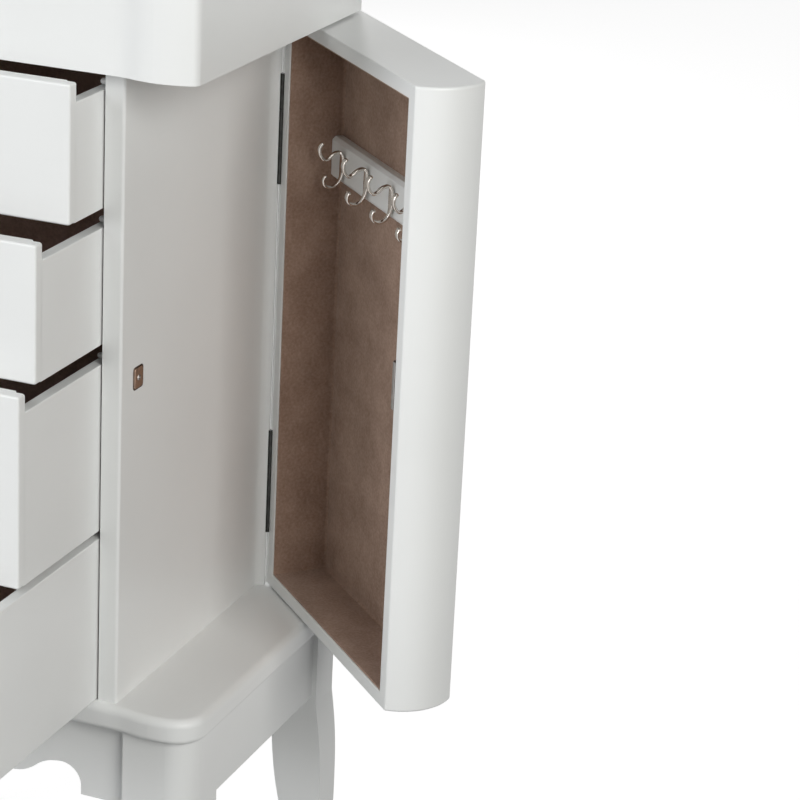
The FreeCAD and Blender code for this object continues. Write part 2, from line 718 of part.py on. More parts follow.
def hooks():
    """Row of hooks, evenly spaced along the rail."""
    pitch = (door_u_in - hook_first - hook_last) / (hook_n - 1)
    return group([hook(hook_first + i * pitch) for i in range(hook_n)])


def door_hinge_sets():
    """Two hinges on the backs of the right side panel and door: fixed leaves, pins and door leaves."""
    fixed, pins, moving = [], [], []
    for z in door_hinge_z:
        parts = hinge(door_hinge_len, lambda side, start, z0, z1: flat_leaf(
            side, start, leaf_w, leaf_t, z0, z1))
        for piece, target in zip(parts, (fixed, pins, moving)):
            set_piece = piece.copy()
            set_piece.translate(Vector(x_hinge, y_hinge, z_base + z))
            target.append(set_piece)
    return fixed, pins, moving


def catch():
    """Magnetic catch inside the free end, facing the strike plate."""
    u1 = door_u_in - door_lining_t
    z0 = catch_z - catch_h / 2
    body = door_box(u1 - catch_len, u1, 0, catch_d, z0, z0 + catch_h)
    corner = edges_at(body, lambda c, e: upright(e) and abs(c.y - at(u1 - catch_len, 0, 0).y) < 0.01)
    return body.makeFillet(2.0, corner)


def strike_plate():
    """Rounded plate on the side panel with a dimple for its screw."""
    y0, z0 = strike_y - strike_w / 2, z_base + strike_z - strike_h / 2
    plate = box(x_side, x_side + strike_t, y0, y0 + strike_w, z0, z0 + strike_h)
    corners = [e for e in plate.Edges if e.BoundBox.XLength > 0.5]
    plate = plate.makeFillet(3.0, corners)
    dimple = Part.makeCylinder(2.2, strike_t, Vector(x_side + strike_t / 2, strike_y, z_base + strike_z),
                               Vector(1, 0, 0))
    return plate.cut(dimple)


def door_turned(shape):
    """Closed right door piece turned to its rest position."""
    turned = shape.copy()
    turned.rotate(Vector(x_hinge, y_hinge, 0), Vector(0, 0, 1), door_open)
    return turned


def doors(leaves):
    """Both doors, open alike."""
    closed = {"end": door_end(), "frame": door_frame(), "panel": door_panel(), "lining": door_lining(),
              "hook_rail": hook_rail(), "hooks": hooks(), "catch": catch(), "hinge_leaves": group(leaves)}
    nodes = {}
    for name, shape in closed.items():
        right = door_turned(shape)
        nodes["door_right_" + name] = right
        nodes["door_left_" + name] = mirrored(right)
    return nodes


# ---------------------------------------------------------------- the cabinet
def cabinet():
    """All nodes at rest, still with Y = 0 at the front plane of the carcass."""
    nodes = dict(legs())
    nodes["base_board"] = base_board()
    nodes["apron_front"] = apron_front()
    nodes["aprons_plain"] = aprons_plain()
    nodes["stile_right"], nodes["stile_left"] = both(stile())
    nodes["side_panel_right"], nodes["side_panel_left"] = both(side_panel())
    nodes["back_panel"] = back_panel()
    nodes["drawer_runners"] = runners()
    nodes["kicker_pins"] = group([s for z in kicker_pins() for s in both(kicker_pin(z, kicker_r))])
    nodes["case_front"] = case_front_board()
    nodes["case_sides"] = case_sides()
    nodes["case_back"] = case_back_board()
    nodes["case_deck"] = deck()
    nodes["tray_cloth"] = tray_cloth()
    nodes["tray_dividers"] = tray_dividers()
    nodes["ring_rolls"] = ring_rolls()
    nodes["strike_plates"] = group(both(strike_plate()))
    fixed, pins, moving = door_hinge_sets()
    nodes["door_hinge_fixed"] = group([s for p in fixed + pins for s in both(p)])
    nodes.update(doors(moving))
    fixed, pins, moving = lid_hinges()
    nodes["lid_hinge_fixed"] = group(fixed + pins)
    nodes["lid_hinge_leaves"] = lid_turned(group(moving))
    nodes["lid_frame"] = lid_turned(lid_frame())
    nodes["lid_panel"] = lid_turned(lid_panel())
    nodes["lid_mirror"] = lid_turned(mirror())
    nodes.update(drawers())
    return nodes


def origin_shift(nodes):
    """Move along Y that puts the origin under the middle of the bounding box."""
    bounds = Part.Compound([s for shape in nodes.values() for s in shape.Solids]).BoundBox
    return -(bounds.YMin + bounds.YMax) / 2


def main():
    os.makedirs("parts", exist_ok=True)
    nodes = cabinet()
    shift = origin_shift(nodes)
    for name, shape in nodes.items():
        shape.translate(Vector(0, shift, 0))
        shape.exportStep("parts/%s.step" % name)
    bounds = Part.Compound([s for shape in nodes.values() for s in shape.Solids]).BoundBox
    print("nodes %d  Y shift %.3f" % (len(nodes), shift))
    print("bounds X %.1f..%.1f  Y %.1f..%.1f  Z %.1f..%.1f" % (
        bounds.XMin, bounds.XMax, bounds.YMin, bounds.YMax, bounds.ZMin, bounds.ZMax))
    return nodes


main()
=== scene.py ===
import json
import math
import bmesh
import bpy
import numpy as np
from mathutils import Matrix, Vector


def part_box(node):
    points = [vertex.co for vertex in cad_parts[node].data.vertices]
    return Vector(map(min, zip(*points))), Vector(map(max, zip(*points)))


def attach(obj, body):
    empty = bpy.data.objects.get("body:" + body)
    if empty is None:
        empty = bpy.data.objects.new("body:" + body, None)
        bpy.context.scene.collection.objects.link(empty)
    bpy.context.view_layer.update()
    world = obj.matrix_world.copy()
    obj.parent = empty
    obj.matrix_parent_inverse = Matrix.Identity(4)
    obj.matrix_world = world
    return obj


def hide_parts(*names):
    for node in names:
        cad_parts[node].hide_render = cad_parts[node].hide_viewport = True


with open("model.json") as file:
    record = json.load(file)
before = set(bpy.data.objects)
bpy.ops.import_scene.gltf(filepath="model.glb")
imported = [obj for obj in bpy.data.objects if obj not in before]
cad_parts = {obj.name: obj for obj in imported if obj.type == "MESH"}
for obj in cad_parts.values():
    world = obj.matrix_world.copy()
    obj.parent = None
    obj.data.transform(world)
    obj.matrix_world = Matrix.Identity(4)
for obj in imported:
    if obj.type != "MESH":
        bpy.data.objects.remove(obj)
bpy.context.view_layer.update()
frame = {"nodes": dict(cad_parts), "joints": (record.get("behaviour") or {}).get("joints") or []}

node = frame["nodes"]

# ---------------------------------------------------------------- camera
# A long lens stands to the right of the cabinet, looks down on it by twenty degrees and is tipped by
# almost three. It was fitted to the straight edges of the carcass, the drawers and the right door.
yaw, pitch, roll = 0.364918, 0.349025, 0.049963
stand = (1.1391, -2.0238, 1.4132)
focal_px, frame_px, sensor_mm = 2861.36, 800, 36.0
level_ahead = np.array([-math.sin(yaw), math.cos(yaw), 0.0])
ahead = level_ahead * math.cos(pitch) - np.array([0, 0, math.sin(pitch)])
level_right = np.array([math.cos(yaw), math.sin(yaw), 0.0])
straight_up = level_ahead * math.sin(pitch) + np.array([0, 0, math.cos(pitch)])
to_right = level_right * math.cos(roll) + straight_up * math.sin(roll)
to_top = straight_up * math.cos(roll) - level_right * math.sin(roll)
camera = bpy.data.objects.new("camera", bpy.data.cameras.new("camera"))
bpy.context.scene.collection.objects.link(camera)
place = np.eye(4)
place[:3, 0], place[:3, 1], place[:3, 2], place[:3, 3] = to_right, to_top, -ahead, stand
camera.matrix_world = Matrix(place.tolist())
camera.data.sensor_width = sensor_mm
camera.data.lens = focal_px / frame_px * sensor_mm
camera.data.clip_end = 60.0
bpy.context.scene.camera = camera
bpy.context.scene.view_settings.view_transform = "Standard"

# ---------------------------------------------------------------- studio
# Pale floor in pale surroundings, a large soft lamp on the left, a nearer one on the right and a weak one
# behind. Seen by the camera, by mirrors and through glass the floor and the surroundings are white.
reach, floor_grey, floor_veil, soft_fill = 14, 0.24, 0.90, 0.09
floor_mesh = bpy.data.meshes.new("floor")
floor_mesh.from_pydata([(-reach, -reach, 0), (reach, -reach, 0), (reach, reach, 0), (-reach, reach, 0)], [],
                       [(0, 1, 2, 3)])
floor = bpy.data.objects.new("floor", floor_mesh)
bpy.context.scene.collection.objects.link(floor)


def seen_rays(tree):
    """Socket that is 1 for camera, glossy and transmission rays: the largest of the three."""
    path = tree.nodes.new("ShaderNodeLightPath")
    first = tree.nodes.new("ShaderNodeMath")
    first.operation = "MAXIMUM"
    second = tree.nodes.new("ShaderNodeMath")
    second.operation = "MAXIMUM"
    tree.links.new(path.outputs["Is Camera Ray"], first.inputs[0])
    tree.links.new(path.outputs["Is Glossy Ray"], first.inputs[1])
    tree.links.new(first.outputs[0], second.inputs[0])
    tree.links.new(path.outputs["Is Transmission Ray"], second.inputs[1])
    return second.outputs[0]


floor_paint = bpy.data.materials.new("floor_paint")
floor_paint.use_nodes = True
tree = floor_paint.node_tree
matt = tree.nodes["Principled BSDF"]
matt.inputs["Base Color"].default_value = (floor_grey, floor_grey, floor_grey, 1)
matt.inputs["Roughness"].default_value = 0.9
matt.inputs["Specular IOR Level"].default_value = 0.1
matt.inputs["Emission Color"].default_value = (1, 1, 1, 1)
veil = tree.nodes.new("ShaderNodeMath")
veil.operation = "MULTIPLY"
veil.inputs[1].default_value = floor_veil
tree.links.new(seen_rays(tree), veil.inputs[0])
tree.links.new(veil.outputs[0], matt.inputs["Emission Strength"])
floor_mesh.materials.append(floor_paint)

world = bpy.data.worlds.new("studio")
bpy.context.scene.world = world
world.use_nodes = True
tree = world.node_tree
sky = tree.nodes["Background"]
sky.inputs["Color"].default_value = (1.0, 1.0, 0.985, 1)
level = tree.nodes.new("ShaderNodeMapRange")
level.inputs["To Min"].default_value = soft_fill
level.inputs["To Max"].default_value = 1.0
tree.links.new(seen_rays(tree), level.inputs["Value"])
tree.links.new(level.outputs["Result"], sky.inputs["Strength"])


def soft_lamp(name, place, aim, size, power, colour):
    """Square area lamp at a place, turned so that its -Z axis runs to the aim."""
    lamp = bpy.data.objects.new(name, bpy.data.lights.new(name, "AREA"))
    bpy.context.scene.collection.objects.link(lamp)
    lamp.data.size = size
    lamp.data.energy = power
    lamp.data.color = colour
    back = np.array(place, float) - np.array(aim, float)
    back /= np.linalg.norm(back)
    side = np.cross([0, 0, 1.0], back)
    side /= np.linalg.norm(side)
    turned = np.eye(4)
    turned[:3, 0], turned[:3, 1], turned[:3, 2], turned[:3, 3] = side, np.cross(back, side), back, place
    lamp.matrix_world = Matrix(turned.tolist())


soft_lamp("lamp_left", (-1.9, -3.2, 2.0), (0.0, -0.1, 0.75), 2.2, 94, (0.965, 0.98, 1.0))
soft_lamp("lamp_right", (2.08, -1.54, 1.69), (0.1, -0.1, 0.8), 1.4, 47, (1.0, 0.995, 0.965))
soft_lamp("lamp_behind", (-2.2, 3.0, 1.5), (0.0, 0.1, 0.75), 2.2, 45, (1.0, 1.0, 1.0))


# ---------------------------------------------------------------- white lacquer on the legs, base and tray
# Legs, base board, aprons, stiles, side panels and the tray walls are painted boards: sprayed satin white
# lacquer, rubbed down between coats, with a faint orange peel and the wood's long waves under it.
def lacquer(name, colour, grain):
    """Satin paint: base colour varies by a slow noise, bump is fine orange peel plus noise stretched
    along the grain axis, given as a triple of scales per metre."""
    paint = bpy.data.materials.new(name)
    paint.use_nodes = True
    nodes, links = paint.node_tree.nodes, paint.node_tree.links
    shader = nodes["Principled BSDF"]
    shader.inputs["Coat Weight"].default_value = 0.08
    shader.inputs["Coat Roughness"].default_value = 0.16
    shader.inputs["Specular IOR Level"].default_value = 0.32
    where = nodes.new("ShaderNodeTexCoord")
    slow = nodes.new("ShaderNodeTexNoise")
    slow.inputs["Scale"].default_value = 5.5
    slow.inputs["Detail"].default_value = 4.0
    links.new(where.outputs["Object"], slow.inputs["Vector"])
    tint = nodes.new("ShaderNodeValToRGB")
    tint.color_ramp.elements[0].position = 0.30
    tint.color_ramp.elements[1].position = 0.72
    tint.color_ramp.elements[0].color = (*[c * 0.972 for c in colour], 1)
    tint.color_ramp.elements[1].color = (*[min(1.0, c * 1.014) for c in colour], 1)
    links.new(slow.outputs["Fac"], tint.inputs["Fac"])
    links.new(tint.outputs["Color"], shader.inputs["Base Color"])
    dull = nodes.new("ShaderNodeMapRange")
    dull.inputs["To Min"].default_value = 0.30
    dull.inputs["To Max"].default_value = 0.42
    links.new(slow.outputs["Fac"], dull.inputs["Value"])
    links.new(dull.outputs["Result"], shader.inputs["Roughness"])
    along = nodes.new("ShaderNodeMapping")
    along.inputs["Scale"].default_value = grain
    links.new(where.outputs["Object"], along.inputs["Vector"])
    fibres = nodes.new("ShaderNodeTexNoise")
    fibres.inputs["Scale"].default_value = 1.0
    fibres.inputs["Detail"].default_value = 3.0
    links.new(along.outputs["Vector"], fibres.inputs["Vector"])
    peel = nodes.new("ShaderNodeTexNoise")
    peel.inputs["Scale"].default_value = 900.0
    peel.inputs["Detail"].default_value = 1.0
    links.new(where.outputs["Object"], peel.inputs["Vector"])
    waves = nodes.new("ShaderNodeBump")
    waves.inputs["Strength"].default_value = 0.10
    waves.inputs["Distance"].default_value = 0.0006
    links.new(fibres.outputs["Fac"], waves.inputs["Height"])
    pores = nodes.new("ShaderNodeBump")
    pores.inputs["Strength"].default_value = 0.06
    pores.inputs["Distance"].default_value = 0.0002
    links.new(peel.outputs["Fac"], pores.inputs["Height"])
    links.new(waves.outputs["Normal"], pores.inputs["Normal"])
    links.new(pores.outputs["Normal"], shader.inputs["Normal"])
    return paint


def stain_and_shade_inside(paint, stain):
    """Faces turned to the middle of the carcass take the brown stain colour instead of paint: partly the bare
    inside, partly painted shade that darkens the narrow gaps between the stiles and the drawer sides. Where
    the place and the face's direction point apart along X, the colour before the shader goes over to the
    stain."""
    nodes, links = paint.node_tree.nodes, paint.node_tree.links
    shader = nodes["Principled BSDF"]
    colour = shader.inputs["Base Color"].links[0].from_socket
    place, facing = nodes.new("ShaderNodeSeparateXYZ"), nodes.new("ShaderNodeSeparateXYZ")
    links.new(nodes.new("ShaderNodeTexCoord").outputs["Object"], place.inputs[0])
    links.new(nodes.new("ShaderNodeNewGeometry").outputs["True Normal"], facing.inputs[0])
    apart = nodes.new("ShaderNodeMath")
    apart.operation = "MULTIPLY"
    links.new(place.outputs["X"], apart.inputs[0])
    links.new(facing.outputs["X"], apart.inputs[1])
    inward_shade = nodes.new("ShaderNodeMath")
    inward_shade.operation = "LESS_THAN"
    inward_shade.inputs[1].default_value = -0.10
    links.new(apart.outputs[0], inward_shade.inputs[0])
    # painted shade: inward faces go over to the brown stain colour, darkening the gaps beside the drawers
    over = nodes.new("ShaderNodeMix")
    over.data_type = "RGBA"
    links.new(inward_shade.outputs[0], over.inputs[0])
    links.new(colour, over.inputs[6])
    over.inputs[7].default_value = (*stain, 1)
    links.new(over.outputs[2], shader.inputs["Base Color"])
    return paint


off_white, brown_stain = (0.84, 0.85, 0.845), (0.080, 0.053, 0.044)
grain_up, grain_across = (260, 260, 14), (14, 260, 260)
white_upright = lacquer("white_lacquer_upright", off_white, grain_up)
white_outside = stain_and_shade_inside(lacquer("white_lacquer_outside", off_white, grain_up), brown_stain)
white_level = lacquer("white_lacquer_level", off_white, grain_across)
for name in ("leg_front_left", "leg_front_right", "leg_rear_left", "leg_rear_right", "case_sides"):
    node[name].data.materials[0] = white_upright
# Stiles and side panels: their inward faces turn brown, partly bare stain and partly painted shade in the
# gaps beside the drawers.
for name in ("stile_left", "stile_right", "side_panel_left", "side_panel_right"):
    node[name].data.materials[0] = white_outside
for name in ("base_board", "apron_front", "aprons_plain", "case_front", "case_back", "case_deck"):
    node[name].data.materials[0] = white_level

# ---------------------------------------------------------------- inside of the carcass
# Dust panels and guide strips are thin boards in dark stain, seen only past the open drawers. The back
# panel is a painted sheet let in between the sides.
dark_stain = lacquer("dark_stain", brown_stain, grain_across)
node["drawer_runners"].data.materials[0] = dark_stain
node["back_panel"].data.materials[0] = white_upright


# ---------------------------------------------------------------- side doors: lacquered shells
# Each door is a shallow upright box: a hinge board, a top and a bottom board, an outer panel and a free
# end with a full-height curved face. Glued up and sprayed as one, so no seams show; all arrises are eased.
# A fine bead round the hinge line, broken at the barrels, closes the joint with the side panel.
def ring_mesh(name, parts):
    """Mesh over grids of points (ring, place in the ring, xyz): a quad for each cell, every ring closed on
    itself, first and last ring capped."""
    points, faces, start = [], [], 0
    for rings in parts:
        rings = np.asarray(rings, float)
        number = np.arange(rings.shape[0] * rings.shape[1]).reshape(rings.shape[:2]) + start
        after = np.roll(number, -1, axis=1)
        faces += np.stack([number[:-1], after[:-1], after[1:], number[1:]], -1).reshape(-1, 4).tolist()
        faces += [number[0, ::-1].tolist(), number[-1].tolist()]
        points.append(rings.reshape(-1, 3))
        start += number.size
    mesh = bpy.data.meshes.new(name)
    mesh.from_pydata(np.concatenate(points).tolist(), [], faces)
    whole = bmesh.new()
    whole.from_mesh(mesh)
    bmesh.ops.recalc_face_normals(whole, faces=whole.faces)
    whole.to_mesh(mesh)
    whole.free()
    return mesh


def carved(mesh, cuts):
    """The mesh less a few solids, each given by its rings: a boolean worked out once and kept."""
    block = bpy.data.objects.new("block", mesh)
    bpy.context.scene.collection.objects.link(block)
    tools = []
    for rings in cuts:
        tool = bpy.data.objects.new("tool", ring_mesh("tool", [rings]))
        bpy.context.scene.collection.objects.link(tool)
        cut = block.modifiers.new("cut", "BOOLEAN")
        cut.operation, cut.solver, cut.object = "DIFFERENCE", "EXACT", tool
        tools.append(tool)
    kept = bpy.data.meshes.new_from_object(block.evaluated_get(bpy.context.evaluated_depsgraph_get()))
    for spent in [block] + tools:
        bpy.data.objects.remove(spent)
    return kept


def surface(name, parts, paint, body, replaced=(), cuts=()):
    """Piece made of ring meshes, with its paint, the body it rides on and the nodes it replaces.
    Face normals are weighted by area."""
    mesh = ring_mesh(name, parts)
    if cuts:
        mesh = carved(mesh, cuts)
        mesh.name = name
    mesh.shade_smooth()
    mesh.materials.append(paint)
    piece = bpy.data.objects.new(name, mesh)
    bpy.context.scene.collection.objects.link(piece)
    piece.modifiers.new("even_shading", "WEIGHTED_NORMAL")
    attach(piece, body)
    if replaced:
        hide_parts(*replaced)
    return piece


hinge_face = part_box("side_panel_right")[1].x
side_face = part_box("stile_right")[1].x
back_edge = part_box("side_panel_right")[1].y
floor_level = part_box("base_board")[1].z
hinge_x, hinge_y = [j for j in frame["joints"] if j["name"] == "door_right_hinge"][0]["pos_m"][:2]
door_gap, door_turn = 0.001, math.radians(45.0)
door_thick, door_foot, door_head = 0.062, 0.002, 0.5375
door_rim, door_hinge_rim, door_well, door_end = 0.0125, 0.0135, 0.053, 0.268
barrel_feet, barrel_len, seat_r = (0.0525, 0.382), 0.099, 0.003


def on_door(p, side):
    """Door measures (u from the hinge end, v outwards, z above the base board) to the open door: set on
    the closed place, turned about the hinge pin, and mirrored for the left side."""
    x = hinge_face + door_gap + p[..., 1] - hinge_x
    y = back_edge - p[..., 0] - hinge_y
    c, s = math.cos(door_turn), math.sin(door_turn)
    return np.stack([side * (hinge_x + c * x - s * y), hinge_y + s * x + c * y, floor_level + p[..., 2]], -1)


def rounded_loops(a0, a1, b0, b1, r0, r1, depth, steps=5):
    """Rounded rectangles in the (a, b) plane, one for each depth: quarter circles of radius r0 at the a0
    side and r1 at the a1 side round the four corners. Columns are a, depth, b."""
    a0, a1, b0, b1, r0, r1, depth = np.broadcast_arrays(a0, a1, b0, b1, r0, r1, depth)
    arc = np.radians(np.linspace(0, 90, steps))
    corners = [(a1 - r1, b1 - r1, r1, 0), (a0 + r0, b1 - r0, r0, 90), (a0 + r0, b0 + r0, r0, 180),
               (a1 - r1, b0 + r1, r1, 270)]
    loops = []
    for ca, cb, r, turn in corners:
        angle = arc + math.radians(turn)
        loops.append(np.stack([ca[:, None] + r[:, None] * np.cos(angle), depth[:, None] + 0 * angle,
                               cb[:, None] + r[:, None] * np.sin(angle)], -1))
    return np.concatenate(loops, 1)


def board(low, high, corner, near=None, far=None, axis=2):
    """Rings of a board between two corner points: a rounded rectangle carried along one axis, drawn in at
    both ends by quarter circles of radius near and far. corner rounds the edges along the axis."""
    near = corner if near is None else near
    far = corner if far is None else far
    a, b = [k for k in range(3) if k != axis]
    t = np.radians(np.linspace(0, 90, 5))
    inset = np.concatenate([near * (1 - np.sin(t)), far * (1 - np.sin(t[::-1]))])
    place = np.concatenate([low[axis] + near * (1 - np.cos(t)), high[axis] - far * (1 - np.cos(t[::-1]))])
    radius = np.maximum(corner - inset, 1e-5)
    loops = rounded_loops(low[a] + inset, high[a] - inset, low[b] + inset, high[b] - inset, radius, radius,
                          place)
    rings = np.empty_like(loops)
    rings[..., a], rings[..., axis], rings[..., b] = loops[..., 0], loops[..., 1], loops[..., 2]
    return rings


def free_end(v):
    """Outline of the curved end: the circle through its inner edge, its crown and its outer edge."""
    (x1, y1), (x2, y2), (x3, y3) = (0.280, 0.0), (0.290, 0.02728), (0.2755, 0.062)
    m = np.array([[x2 - x1, y2 - y1], [x3 - x2, y3 - y2]])
    k = np.array([x2 ** 2 - x1 ** 2 + y2 ** 2 - y1 ** 2, x3 ** 2 - x2 ** 2 + y3 ** 2 - y2 ** 2]) / 2
    cu, cv = np.linalg.solve(m, k)
    return cu + np.sqrt((x2 - cu) ** 2 + (y2 - cv) ** 2 - (v - cv) ** 2)


def door_shell():
    """Loops from the middle of the outer panel over its eased arris, down the sides, over the rim and its
    inner arris, and down into the well."""
    ease, lip = 0.0011, 0.0007
    t = np.radians(np.linspace(0, 90, 5))
    v = np.concatenate([door_thick - ease * (1 - np.cos(t)), np.linspace(door_thick - ease, ease, 16)[1:-1],
                        ease * (1 - np.cos(t[::-1]))])
    inset = np.concatenate([ease * (1 - np.sin(t)), np.zeros(14), ease * (1 - np.sin(t[::-1]))])
    outer = rounded_loops(inset, free_end(v) - inset, door_foot + inset, door_head - inset,
                          np.maximum(0.0012 - inset, 1e-5), 0.0024 - inset, v)
    out = lip * (1 - np.sin(t))
    v = lip * (1 - np.cos(t))
    inner = rounded_loops(door_hinge_rim - out, door_end + out, door_foot + door_rim - out,
                          door_head - door_rim + out, 0.0004 + out, 0.0004 + out, v)
    well = rounded_loops(door_hinge_rim, door_end, door_foot + door_rim, door_head - door_rim, 0.0004, 0.0004,
                         np.array([0.004, door_well]))
    return np.concatenate([outer, inner, well])


def hinge_seat(side, z, play=0.0004):
    """Upright cylinder round the hinge pin, the room for one barrel with a little play at both ends."""
    turn = np.radians(np.arange(0, 360, 10))
    rings = np.empty((2, len(turn), 3))
    rings[..., 0] = side * (hinge_x + seat_r * np.cos(turn))
    rings[..., 1] = hinge_y + seat_r * np.sin(turn)
    rings[..., 2] = np.array([[z - play], [z + barrel_len + play]]) + floor_level
    return rings


bead_gap = 0.0006
bead_feet = [door_foot] + [z + barrel_len + bead_gap for z in barrel_feet]
bead_heads = [z - bead_gap for z in barrel_feet] + [door_head]
for side, name in ((1, "right"), (-1, "left")):
    surface("door_%s_shell" % name, [on_door(door_shell(), side)], white_upright,
            "door_" + name, ["door_%s_%s" % (name, k) for k in ("end", "frame", "panel")],
            cuts=[hinge_seat(side, z) for z in barrel_feet])
    beads = [board((-0.000775, -0.00094, low), (0.0016, 0.0012, high), 0.00045)
             for low, high in zip(bead_feet, bead_heads)]
    surface("door_%s_closing_bead" % name, [on_door(bead, side) for bead in beads], white_upright,
            "door_" + name)


# ---------------------------------------------------------------- side doors: suede linings
# Brown suede cloth with a short matted nap, glued into the well of each door over thin card, so that
# it turns softly in the corners and stops just short of the rim.
def cloth(name, dark, light, sheen, nap):
    """Short-napped cloth: two noises mottle the colour between dark and light, a fine one raises the nap."""
    weave = bpy.data.materials.new(name)
    weave.use_nodes = True
    nodes, links = weave.node_tree.nodes, weave.node_tree.links
    shader = nodes["Principled BSDF"]
    shader.inputs["Roughness"].default_value = 0.95
    shader.inputs["Specular IOR Level"].default_value = 0.15
    shader.inputs["Sheen Weight"].default_value = sheen
    shader.inputs["Sheen Roughness"].default_value = 0.55
    where = nodes.new("ShaderNodeTexCoord")
    cloud = nodes.new("ShaderNodeTexNoise")
    cloud.inputs["Scale"].default_value = 24.0
    cloud.inputs["Detail"].default_value = 6.0
    cloud.inputs["Roughness"].default_value = 0.62
    links.new(where.outputs["Object"], cloud.inputs["Vector"])
    speck = nodes.new("ShaderNodeTexNoise")
    speck.inputs["Scale"].default_value = 420.0
    speck.inputs["Detail"].default_value = 3.0
    links.new(where.outputs["Object"], speck.inputs["Vector"])
    blend = nodes.new("ShaderNodeMix")
    blend.inputs["Factor"].default_value = 0.42
    links.new(cloud.outputs["Fac"], blend.inputs["A"])
    links.new(speck.outputs["Fac"], blend.inputs["B"])
    tint = nodes.new("ShaderNodeValToRGB")
    tint.color_ramp.elements[0].position = 0.36
    tint.color_ramp.elements[1].position = 0.64
    tint.color_ramp.elements[0].color = (*dark, 1)
    tint.color_ramp.elements[1].color = (*light, 1)
    links.new(blend.outputs["Result"], tint.inputs["Fac"])
    links.new(tint.outputs["Color"], shader.inputs["Base Color"])
    raised = nodes.new("ShaderNodeBump")
    raised.inputs["Strength"].default_value = nap
    raised.inputs["Distance"].default_value = 0.0006
    links.new(speck.outputs["Fac"], raised.inputs["Height"])
    links.new(raised.outputs["Normal"], shader.inputs["Normal"])
    return weave


suede = cloth("suede_cloth", (0.290, 0.186, 0.136), (0.460, 0.318, 0.246), 0.20, 0.45)


def cloth_tray(a0, a1, b0, b1, lip, bottom, thick, soft, swell):
    """Loops up the outside of a cloth tray, over its round lip, down inside, round the soft foot and over
    a floor that swells slightly to its middle. Columns are a, depth, b."""
    down = 1.0 if bottom > lip else -1.0
    t = np.radians(np.linspace(0, 90, 5))
    half = thick / 2
    deep = abs(bottom - lip)
    wall = np.linspace(half, deep - thick - soft, 6)
    floor = np.linspace(soft, 0.45 * min(a1 - a0, b1 - b0), 5)
    inset = np.concatenate([[0.0004, 0.0], half * (1 - np.cos(t)), half + half * np.sin(t), np.full(6, thick),
                            thick + soft * (1 - np.cos(t)), thick + floor])
    depth = np.concatenate([[deep, deep - 0.0004], half * (1 - np.sin(t)), half * (1 - np.cos(t)), wall,
                            deep - thick - soft * (1 - np.sin(t)),
                            deep - thick - swell * np.sin(np.pi / 2 * (floor - soft) / (floor[-1] - soft))])
    radius = np.maximum(soft * 0.6, 0.001 + 0 * inset)
    return rounded_loops(a0 + inset, a1 - inset, b0 + inset, b1 - inset, radius, radius, lip + down * depth)


u0, u1, z0, z1 = door_hinge_rim, door_end, door_foot + door_rim, door_head - door_rim
lip = 0.001
lining = cloth_tray(u0, u1, z0, z1, lip, door_well, 0.0015, 0.0022, 0.0004)
for side, name in ((1, "right"), (-1, "left")):
    piece = surface("door_%s_suede" % name, [on_door(lining, side)], suede, "door_" + name,
                    ["door_%s_lining" % name])


# ---------------------------------------------------------------- side doors: hook rails and hooks
# A bevelled lacquered rail is glued across the lining. Five nickel-plated double hooks stand on it: cast
# flat stems, an upper arm that arches, dips and curls up, and a smaller crook below.
def eased(corners, r, steps=4):
    """A polygon whose corners are rounded: each by the parabola that touches both its sides at distance r."""
    c = np.asarray(corners, float)
    before, after = np.roll(c, 1, axis=0) - c, np.roll(c, -1, axis=0) - c
    a = c + r * before / np.linalg.norm(before, axis=1)[:, None]
    b = c + r * after / np.linalg.norm(after, axis=1)[:, None]
    t = np.linspace(0, 1, steps)[:, None, None]
    return ((1 - t) ** 2 * a + 2 * t * (1 - t) * c + t ** 2 * b).transpose(1, 0, 2).reshape(-1, 2)


rail_face, rail_back, rail_foot, rail_head = 0.0415, 0.0515, 0.3897, 0.4266
section = [(rail_back, rail_foot), (rail_face + 0.0026, rail_foot), (rail_face, rail_foot + 0.0026),
           (rail_face, rail_head - 0.0030), (rail_face + 0.0030, rail_head), (rail_back, rail_head)]
eased_ends = [(0.0016, 0.0005), (0.0018, 0.0002), (0.0022, 0.0)]
rail_ends = [(door_hinge_rim + set_in, drawn) for set_in, drawn in eased_ends]
rail_ends += [(door_end - set_in, drawn) for set_in, drawn in eased_ends[::-1]]
middle = np.mean(section, axis=0)
rail = np.empty((len(rail_ends), 4 * len(section), 3))
for k, (u, drawn) in enumerate(rail_ends):
    outline = eased(section, 0.0007)
    rail[k, :, 0] = u
    rail[k, :, 1:] = outline + np.clip(middle - outline, -drawn, drawn)
for side, name in ((1, "right"), (-1, "left")):
    surface("door_%s_rail" % name, [on_door(rail, side)], white_level, "door_" + name,
            ["door_%s_hook_rail" % name])


